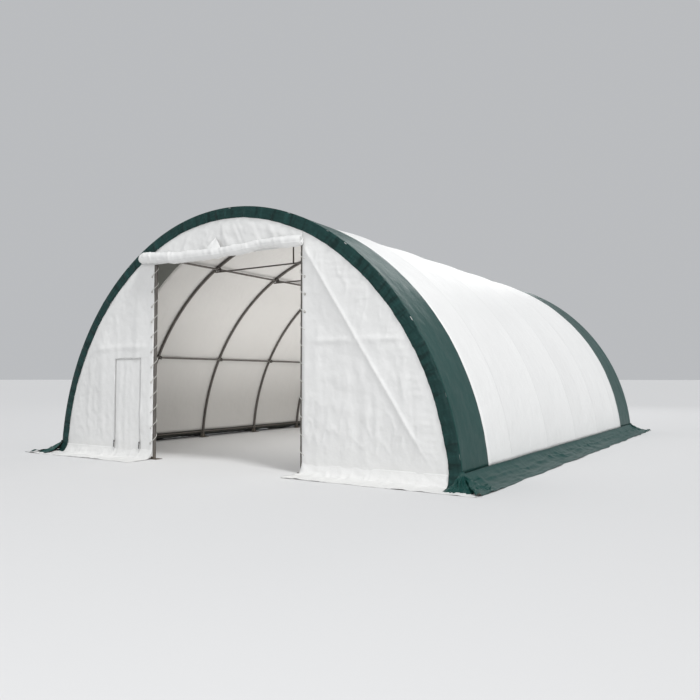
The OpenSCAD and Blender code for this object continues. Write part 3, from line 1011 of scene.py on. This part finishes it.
class SHELTER_OT_flaps(bpy.types.Operator):
    """Lay the white flaps on the ground before the front and the rear"""

    bl_idname = "shelter.flaps"
    bl_label = "End flaps"

    def execute(self, context):
        edge = HALF - PANEL_DEPTH
        reach = FLAP_Y - abs(FACE)
        ground_flap("front_hem_right", "front_flap_right", -1, PANEL_X, edge, 1, 301, reach)
        ground_flap("front_hem_left", "front_flap_left", -1, -PANEL_X, -edge, 1, 331, reach)
        ground_flap("rear_hem", "rear_flap", 1, -edge, edge, 2, 361, reach)
        return {"FINISHED"}


# --- Rolled-up door -------------------------------------------------------


def roll_shape(along):
    """Radius, height and depth of the rolled door at shares of its length."""
    radius = 0.093 + 0.010 * waves(along * 3.8, along * 0, 401, 1.5, 3)
    radius = radius * (1 - 0.17 * bump_at(along, 0.80, 0.07)) * (1 + 0.10 * bump_at(along, 0.03, 0.06))
    radius = radius * (1 + 0.05 * bump_at(along, 0.95, 0.05))
    low, high = ROLL
    z = (low.z + high.z) / 2 + 0.075 * (1 - smooth(0.0, 0.30, along))
    z = z + 0.035 * bump_at(along, 0.80, 0.12) - 0.018 * bump_at(along, 0.5, 0.22)
    y = (low.y + high.y) / 2 + 0.012 * waves(along * 3.8, along * 0, 405, 2.0, 2)
    return radius, z, y


class SHELTER_OT_door_roll(bpy.types.Operator):
    """Roll the main door up above the doorway, with its loose tab"""

    bl_idname = "shelter.door_roll"
    bl_label = "Rolled door"

    def execute(self, context):
        self.roll()
        self.tab()
        return {"FINISHED"}

    def roll(self):
        stations, around = 230, 84
        low, high = ROLL
        u, w = np.meshgrid(np.linspace(0, 1, stations), np.arange(around) / around, indexing="ij")
        radius, z0, y0 = roll_shape(u)
        turn = w * TWO_PI
        lap = 0.011 * ((w + 0.30 + 0.035 * waves(u * 3.8, w * 0, 411, 1.6, 2)) % 1.0)
        x = low.x + u * (high.x - low.x)
        twist = ridges(x + 0.22 * w, 412, low.x - 0.3, high.x + 0.3, 0.16, 0.035)
        dent = waves(x, w * 0.6, 413, 0.55, 3)
        r = radius - 0.010 + lap + 0.010 * twist + 0.009 * dent
        closing = np.minimum(u, 1 - u) * (high.x - low.x)
        r = r * (0.82 + 0.18 * smooth(0.0, 0.05, closing))
        sag = 1 + 0.07 * np.cos(turn) ** 2
        y = y0 + r * np.sin(turn)
        z = z0 + r * np.cos(turn) * sag
        body = (np.stack([x, y, z], axis=-1).reshape(-1, 3),
                [list(f) for f in grid_faces(stations, around, closed=True)],
                np.stack([x, w * 0.6], axis=-1).reshape(-1, 2))
        parts = [body]
        for share, way in ((0.0, -1), (1.0, 1)):
            parts.append(self.end_cap(share, way, around, body[0], stations))
        verts, faces, uvs = joined(parts)
        verts, faces, uvs = merged(verts, np.array(faces), uvs)
        middle = np.array([0, (low.y + high.y) / 2, (low.z + high.z) / 2])
        faces = facing(verts, faces, lambda centres: centres - middle)
        obj = mesh_object("rolled_door", verts, faces, [MATERIALS["panel"]], uvs)
        own(obj, "white_fabric", "door_roll")

    def end_cap(self, share, way, around, body, stations):
        """The end of the roll: its turns show as a spiral of steps."""
        ring = body.reshape(stations, around, 3)[0 if share == 0 else -1]
        centre = ring.mean(axis=0)
        rings = np.linspace(1.0, 0.0, 22)
        k, w = np.meshgrid(rings, np.arange(around), indexing="ij")
        place = centre + (ring[None] - centre) * k[..., None]
        turns = (k * 5.0 + w / around) % 1.0
        step = smooth(0.0, 0.35, turns) * (1 - smooth(0.85, 1.0, turns))
        depth = 0.010 * step * np.sin(math.pi * np.clip(k, 0, 1))
        place[..., 0] += way * depth
        place[..., 0] -= way * 0.012 * (1 - k) ** 2
        faces = [list(f) for f in grid_faces(len(rings), around, closed=True)]
        if way < 0:
            faces = [f[::-1] for f in faces]
        uvs = place[..., 1:].reshape(-1, 2)
        return place.reshape(-1, 3), faces, uvs

    def tab(self):
        """A pointed end of the door cloth that stands up above the roll."""
        left, right, tip = -0.32, 0.05, -0.15
        share = np.linspace(0, 1, 26)
        v, u = np.meshgrid(share, np.linspace(0, 1, 30), indexing="ij")
        x = (left + (right - left) * u) * (1 - v) + tip * v
        z = 3.83 + v * 0.225
        curl = 0.030 * np.sin(u * math.pi) * (1 - v)
        y = FACE - 0.022 - 0.085 * (1 - v) ** 1.5 - curl + 0.006 * waves(x, z, 421, 0.2, 2)
        y = y - 0.045 * bump_at(u, 0.0, 0.18) * (1 - v) * v * 3
        wide = right - left
        sheet("door_tab", "white_fabric", [], (x, y, z), (x, z), PANEL, towards(0, -1, 0),
              flat=(wide, 0.25), area=0.5 * wide * 0.26, held="folded", rests_on=["rolled_door"])


# --- Zips, lacing, eyelets ------------------------------------------------


def spread_tree(name, material):
    """A geometry tree that sets a shape on each point and makes it real."""
    tree = bpy.data.node_groups.new(name, "GeometryNodeTree")
    face = tree.interface
    face.new_socket("Geometry", in_out="INPUT", socket_type="NodeSocketGeometry")
    face.new_socket("Shape", in_out="INPUT", socket_type="NodeSocketObject")
    face.new_socket("Scale", in_out="INPUT", socket_type="NodeSocketFloat").default_value = 1.0
    face.new_socket("Geometry", in_out="OUTPUT", socket_type="NodeSocketGeometry")
    add = tree.nodes.new
    source, sink = add("NodeGroupInput"), add("NodeGroupOutput")
    shape, turn = add("GeometryNodeObjectInfo"), add("GeometryNodeInputNamedAttribute")
    place, real, finish = (add("GeometryNodeInstanceOnPoints"), add("GeometryNodeRealizeInstances"),
                           add("GeometryNodeSetMaterial"))
    turn.data_type = "FLOAT_VECTOR"
    turn.inputs["Name"].default_value = "turn"
    finish.inputs["Material"].default_value = material
    join = tree.links.new
    join(source.outputs["Geometry"], place.inputs["Points"])
    join(source.outputs["Shape"], shape.inputs["Object"])
    join(source.outputs["Scale"], place.inputs["Scale"])
    join(shape.outputs["Geometry"], place.inputs["Instance"])
    join(turn.outputs["Attribute"], place.inputs["Rotation"])
    join(place.outputs["Instances"], real.inputs["Geometry"])
    join(real.outputs["Geometry"], finish.inputs["Geometry"])
    join(finish.outputs["Geometry"], sink.inputs["Geometry"])
    return tree


def repeat(name, shape, points, turns, material, slot):
    """One mesh of a shape repeated at points, each with its own turn."""
    mesh = bpy.data.meshes.new(name)
    mesh.from_pydata([tuple(p) for p in points], [], [])
    attribute = mesh.attributes.new("turn", "FLOAT_VECTOR", "POINT")
    attribute.data.foreach_set("vector", np.asarray(turns, np.float32).ravel())
    obj = link(name, mesh)
    modifier = obj.modifiers.new("repeat", "NODES")
    modifier.node_group = spread_tree(name + "_tree", material)
    keys = {item.name: item.identifier for item in modifier.node_group.interface.items_tree
            if item.in_out == "INPUT"}
    modifier[keys["Shape"]] = shape
    modifier[keys["Scale"]] = 1.0
    settle(obj)
    bpy.data.objects.remove(shape)
    return own(obj, slot)


def lathe(outline, sides, closed=False):
    """Points and faces of an outline of radius and height turned round Z."""
    outline = np.asarray(outline, float)
    turn = np.arange(sides) / sides * TWO_PI
    x = outline[:, 0, None] * np.cos(turn)
    y = outline[:, 0, None] * np.sin(turn)
    z = np.repeat(outline[:, 1, None], sides, axis=1)
    verts = np.stack([x, y, z], axis=-1).reshape(-1, 3)
    faces = [list(f) for f in grid_faces(len(outline), sides, closed=True)]
    if closed:
        last = (len(outline) - 1) * sides
        faces += [[last + k, last + (k + 1) % sides, (k + 1) % sides, k] for k in range(sides)]
    return verts, faces


def shape_object(name, verts, faces, sharp=True):
    return mesh_object(name, verts, faces, [], None, not sharp)


def eyelet_shape():
    outline = [(0.010, 0.002), (0.0125, 0.0042), (0.018, 0.0046), (0.0215, 0.003), (0.022, 0.0),
               (0.010, 0.0)]
    verts, faces = lathe(outline, 20, closed=True)
    return shape_object("eyelet_shape", verts, faces, sharp=False)


def bolt_shape(flats):
    """A washer, a hexagonal head with a chamfer, and a short thread end."""
    parts = []
    washer = lathe([(0.0, 0.0), (flats * 0.78, 0.0), (flats * 0.78, 0.0025), (0.0, 0.0025)], 16)
    r = flats / math.sqrt(3)
    head = lathe([(0.0, 0.0025), (r, 0.0025), (r, 0.0105), (r * 0.86, 0.0125), (0.0, 0.0125)], 6)
    thread = lathe([(0.0, 0.0125), (flats * 0.3, 0.0125), (flats * 0.3, 0.018), (0.0, 0.018)], 10)
    for verts, faces in (washer, head, thread):
        parts.append((verts, faces, verts[:, :2]))
    verts, faces, uvs = joined(parts)
    return shape_object("bolt_shape", verts, faces)


class SHELTER_OT_zips(bpy.types.Operator):
    """Sew the zips round the walk-in door, with their teeth and pulls"""

    bl_idname = "shelter.zips"
    bl_label = "Zips"

    def execute(self, context):
        low, high = MAN_DOOR
        front = FACE - 0.010
        half = 0.012
        foot = 0.05
        top = high.z
        tapes = [self.tape((x, foot), (x, top + half), half, front) for x in (low.x, high.x)]
        tapes.append(self.tape((low.x - half, top), (high.x + half, top), half, front))
        solid("zip_tapes", "white_fabric", tapes, "zip", False)
        self.teeth(low, high, foot, top, front)
        self.pulls(low, high, front)
        return {"FINISHED"}

    def tape(self, start, end, half, front):
        """A strip with a hem along each side, that follows the door."""
        run = np.array(end) - np.array(start)
        n = max(2, int(np.linalg.norm(run) / 0.05))
        t = np.linspace(0, 1, n)
        across = np.array([-run[1], run[0]]) / np.linalg.norm(run)
        side = [(half * 0.2, 0.004), (half * 0.3, 0.0025), (half, 0.0025), (half, 0.0)]
        profile = [(-a, b) for a, b in side[::-1]] + side
        rows = []
        for k in t:
            x, z = np.array(start) + run * k
            y = front - float(flare(z))
            rows.append([(x + across[0] * a, y - b, z + across[1] * a) for a, b in profile])
        points = np.array(rows)
        faces = [list(f) for f in grid_faces(n, len(profile), closed=True)]
        faces.append(list(range(len(profile)))[::-1])
        faces.append([(n - 1) * len(profile) + i for i in range(len(profile))])
        flat = points.reshape(-1, 3)
        middle = flat.mean(axis=0) + np.array([0, 0.05, 0])
        faces = facing(flat, faces, lambda c: c - middle)
        return flat, faces, flat[:, [0, 2]]

    def teeth(self, low, high, foot, top, front):
        pitch = 0.009
        tooth = box_part((-0.0045, -0.0022, -0.0028), (0.0045, 0.0022, 0.0028))
        shape = shape_object("tooth_shape", tooth[0], tooth[1])
        points, turns = [], []
        for x in (low.x, high.x):
            for k, z in enumerate(np.arange(foot + 0.01, top, pitch)):
                y = front - float(flare(z)) - 0.0045
                points.append((x + (0.002 if k % 2 else -0.002), y, z))
                turns.append((0, 0, 0))
        for k, x in enumerate(np.arange(low.x, high.x, pitch)):
            points.append((x, front - 0.0045, top + (0.002 if k % 2 else -0.002)))
            turns.append((0, math.pi / 2, 0))
        repeat("zip_teeth", shape, points, turns, MATERIALS["tooth"], "white_fabric")

    def pulls(self, low, high, front):
        """A slider, a ring and a cord tab on each upright zip."""
        parts = []
        z = 0.30
        y = front - 0.007
        for x in (low.x, high.x):
            parts.append(box_part((x - 0.011, y - 0.010, z - 0.016), (x + 0.011, y, z + 0.016)))
            t = np.linspace(0, TWO_PI * 0.98, 20)
            ring = (x + 0.012 * np.sin(t), y - 0.012 - 0.002 * np.sin(t * 2), z - 0.020 + 0.016 * np.cos(t))
            parts.append(tube_along(np.stack(ring, axis=-1), 0.0022, 8))
            strip = [(x, y - 0.014, z - 0.034), (x + 0.004, y - 0.018, z - 0.07)]
            strip.append((x + 0.002, y - 0.016, z - 0.115))
            parts.append(tube_along(strip, 0.0065, 8))
        solid("zip_pulls", "white_fabric", parts, "hook", False)


def lace_turns():
    """Heights of the lacing's eyelets up a jamb."""
    pitch = sizes().lace_pitch
    return np.arange(0.30, TOP_PANEL_Z - 0.12, pitch)


class SHELTER_OT_lacing(bpy.types.Operator):
    """Lace the front panels to the door jambs with white rope"""

    bl_idname = "shelter.lacing"
    bl_label = "Lacing"

    def execute(self, context):
        for side, name in ((1, "right"), (-1, "left")):
            rope = tube_along(self.path(side), sizes().rope / 2, 8)
            solid(f"jamb_lacing_{name}", "white_fabric", [rope], "rope")
        return {"FINISHED"}

    def path(self, side):
        """Round the tube once for each eyelet, through it from behind."""
        pitch = sizes().lace_pitch
        r = sizes().rope / 2
        tube_y = (JAMB[0].y + JAMB[1].y) / 2
        radius = (JAMB[1].x - JAMB[0].x) / 2
        front = FACE - 0.012 - r
        back = tube_y + radius + r
        inside = JAMB_X - radius - r
        loop = [(EYELET_X, front), (PANEL_X + 0.01, front - 0.002), (JAMB_X - 0.012, front + 0.001),
                (inside + 0.005, tube_y - 0.018), (inside, tube_y + 0.004), (JAMB_X - 0.020, back - 0.006),
                (JAMB_X + 0.008, back), (JAMB_X + radius + r, tube_y + 0.008),
                (EYELET_X - 0.006, FACE + 0.016)]
        shares = [0.0, 0.10, 0.22, 0.36, 0.44, 0.56, 0.68, 0.82, 0.95]
        points = []
        for z in lace_turns():
            for (x, y), k in zip(loop, shares):
                points.append((side * x, y, z + k * pitch))
        points = np.array(points)
        key = np.arange(len(points))
        fine = np.linspace(0, len(points) - 1, (len(points) - 1) * 5 + 1)
        out = []
        for axis in range(3):
            m = np.gradient(points[:, axis])
            i = np.minimum(fine.astype(int), len(points) - 2)
            t = fine - i
            p0, p1, m0, m1 = points[i, axis], points[i + 1, axis], m[i], m[i + 1]
            out.append((2 * t**3 - 3 * t**2 + 1) * p0 + (t**3 - 2 * t**2 + t) * m0 * 0.7
                       + (-2 * t**3 + 3 * t**2) * p1 + (t**3 - t**2) * m1 * 0.7)
        return np.stack(out, axis=-1)


class SHELTER_OT_eyelets(bpy.types.Operator):
    """Set an eyelet wherever the rope goes through the cloth"""

    bl_idname = "shelter.eyelets"
    bl_label = "Eyelets"

    def execute(self, context):
        points, turns = [], []
        for side in (1, -1):
            for z in lace_turns():
                points.append((side * EYELET_X, FACE - 0.004, z))
                turns.append((math.pi / 2, 0, 0))
        repeat("lacing_eyelets", eyelet_shape(), points, turns, MATERIALS["bolt"], "galvanised_tube")
        return {"FINISHED"}


# --- Steel fittings -------------------------------------------------------


def clamp_bolts():
    """Places and turns of two bolts on every clamp cheek's outer face."""
    tilts = [0.0]
    for name in ("purlin_upper_right", "purlin_lower_right"):
        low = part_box(name)[0]
        tilt = math.atan2(low.x + PURLIN_R - ARCH.side_x, low.z + PURLIN_R - ARCH.side_z)
        tilts += [tilt, -tilt]
    face = 0.030 + 0.0003 + 0.005
    points, turns = [], []
    for i, hoop in enumerate(HOOPS):
        for angle in tilts:
            x0, z0 = (float(k) for k in ARCH.point(np.array(angle), PURLIN_DEPTH - 0.009))
            for along in (-0.0275, 0.0275):
                x = x0 + along * math.cos(angle)
                z = z0 - along * math.sin(angle)
                for way in (-1, 1):
                    if (i == 0 and way < 0) or (i == 6 and way > 0):
                        continue
                    points.append((x, hoop + way * face, z))
                    turns.append((-way * math.pi / 2, 0, 0))
    return points, turns


class SHELTER_OT_fittings(bpy.types.Operator):
    """Fit the clamp bolts and the sleeves over the joints of the hoops"""

    bl_idname = "shelter.fittings"
    bl_label = "Steel fittings"

    def execute(self, context):
        points, turns = clamp_bolts()
        repeat("clamp_bolts", bolt_shape(sizes().bolt), points, turns, MATERIALS["bolt"], "base_steel")
        self.sleeves()
        return {"FINISHED"}

    def sleeves(self):
        """A short wider tube over each joint of a hoop, with a rolled lip."""
        parts = []
        half = 0.11 / ARCH.side_r
        for hoop in HOOPS:
            for angle in (CROWN_ANGLE, -CROWN_ANGLE):
                a = np.linspace(angle - half, angle + half, 9)
                x, z = ARCH.point(a, HOOP_DEPTH)
                path = np.stack([x, np.full_like(x, hoop), z], axis=-1)
                parts.append(tube_along(path, 0.0326, 24))
                for end, beside in ((0, 1), (-1, -2)):
                    step = (path[beside] - path[end]) / np.linalg.norm(path[beside] - path[end])
                    step = step if end == 0 else -step
                    ring = [path[end] - step * 0.006, path[end] + step * 0.006]
                    parts.append(tube_along(ring, 0.0338, 24))
        solid("hoop_sleeves", "galvanised_tube", parts, "tube")


class SHELTER_OT_frame_finish(bpy.types.Operator):
    """Give the tubes, plates and cable their steel finish"""

    bl_idname = "shelter.frame_finish"
    bl_label = "Frame finish"

    def execute(self, context):
        plates = ("foot_plates", "purlin_clamps", "front_brace_cable")
        soft = ("roof_cover", "front_band", "rear_band", "base_skirt", "front_edge", "rear_edge",
                "front_panel", "man_door", "rear_panel", "front_flap", "rear_flap", "door_roll")
        for name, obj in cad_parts.items():
            if name.startswith(soft):
                continue
            material = MATERIALS["plate" if name in plates else "tube"]
            for slot in obj.material_slots:
                slot.material = material
        return {"FINISHED"}


# --- Stage ----------------------------------------------------------------


def lamp(name, kind, energy, place, target, size, colour=(1, 1, 1)):
    """A lamp at a place that shines towards a target."""
    data = bpy.data.lights.new(name, kind)
    data.energy = energy
    data.color = colour
    if kind == "SUN":
        data.angle = size
    else:
        data.shape = "RECTANGLE"
        data.size, data.size_y = size
    obj = bpy.data.objects.new(name, data)
    bpy.context.scene.collection.objects.link(obj)
    obj.visible_camera = False
    obj.location = place
    obj.rotation_euler = (Vector(target) - Vector(place)).to_track_quat("-Z", "Y").to_euler()
    return obj


class SHELTER_OT_stage(bpy.types.Operator):
    """Set the floor, the lights and the camera"""

    bl_idname = "shelter.stage"
    bl_label = "Stage"

    def execute(self, context):
        scene = context.scene
        scene.view_settings.view_transform = "Standard"
        self.floor()
        self.world(scene)
        lamp("sun", "SUN", 1.9, (14, -5, 20), (0, 0, 0), math.radians(12))
        lamp("front_fill", "AREA", 850, (9, -23, 7), (0, -6, 2), (6, 6))
        lamp("back_sky", "AREA", 620, (-5, 20, 13), (3, -5, 3.5), (9, 7))
        lamp("roof_glow", "AREA", 120, (0, 0.6, 3.6), (0, 0.6, 0), (4.0, 10.0))
        lamp("cover_glow", "AREA", 200, (0, 0.6, 0.9), (0, 0.6, 4.5), (5.0, 10.0))
        camera = bpy.data.cameras.new("camera")
        camera.sensor_width = 36
        camera.lens = 34.725
        camera.clip_end = 3000
        eye = bpy.data.objects.new("camera", camera)
        scene.collection.objects.link(eye)
        eye.location = (8.365, -14.953, 1.538)
        eye.rotation_euler = (math.pi / 2 + 0.042, 0, 0.571)
        scene.camera = eye
        return {"FINISHED"}

    def floor(self):
        r = 700.0
        f = Finish("pale_floor")
        f.set(Base_Color=f.mix(f.noise(0.4, 2.0) * 0.06, (0.66, 0.66, 0.66), (0.61, 0.61, 0.61)),
              Roughness=0.9)
        verts = [(-r, -r, -0.001), (r, -r, -0.001), (r, r, -0.001), (-r, r, -0.001)]
        floor = mesh_object("floor", verts, [(0, 1, 2, 3)], [f.material], None, False)

    def world(self, scene):
        world = bpy.data.worlds.new("sky")
        world.use_nodes = True
        back = world.node_tree.nodes["Background"]
        back.inputs[0].default_value = (0.95, 0.97, 1.0, 1)
        back.inputs[1].default_value = 0.52
        scene.world = world


class SHELTER_PT_panel(bpy.types.Panel):
    """Sizes, colours and building steps of the shelter"""

    bl_idname = "SHELTER_PT_panel"
    bl_label = "Storage shelter"
    bl_space_type = "VIEW_3D"
    bl_region_type = "UI"
    bl_category = "Shelter"

    def draw(self, context):
        scene = context.scene
        for group in (scene.shelter_sizes, scene.shelter_colours):
            box = self.layout.box()
            for name in group.bl_rna.properties.keys():
                if name not in ("rna_type", "name"):
                    box.prop(group, name)
        for step in STEPS:
            self.layout.operator(step.bl_idname)


STEPS = (
    SHELTER_OT_cover, SHELTER_OT_skirts, SHELTER_OT_edge_bands, SHELTER_OT_front_panels,
    SHELTER_OT_rear_panel, SHELTER_OT_flaps, SHELTER_OT_door_roll, SHELTER_OT_zips,
    SHELTER_OT_lacing, SHELTER_OT_eyelets, SHELTER_OT_fittings, SHELTER_OT_frame_finish,
    SHELTER_OT_stage,
)
CLASSES = (ShelterSizes, ShelterColours, *STEPS, SHELTER_PT_panel)


def register():
    for cls in CLASSES:
        bpy.utils.register_class(cls)
    bpy.types.Scene.shelter_sizes = bpy.props.PointerProperty(type=ShelterSizes)
    bpy.types.Scene.shelter_colours = bpy.props.PointerProperty(type=ShelterColours)


def unregister():
    del bpy.types.Scene.shelter_sizes
    del bpy.types.Scene.shelter_colours
    for cls in reversed(CLASSES):
        bpy.utils.unregister_class(cls)


def main():
    register()
    make_materials(bpy.context.scene.shelter_colours)
    for step in STEPS:
        group, name = step.bl_idname.split(".")
        getattr(getattr(bpy.ops, group), name)()


if __name__ == "__main__":
    main()
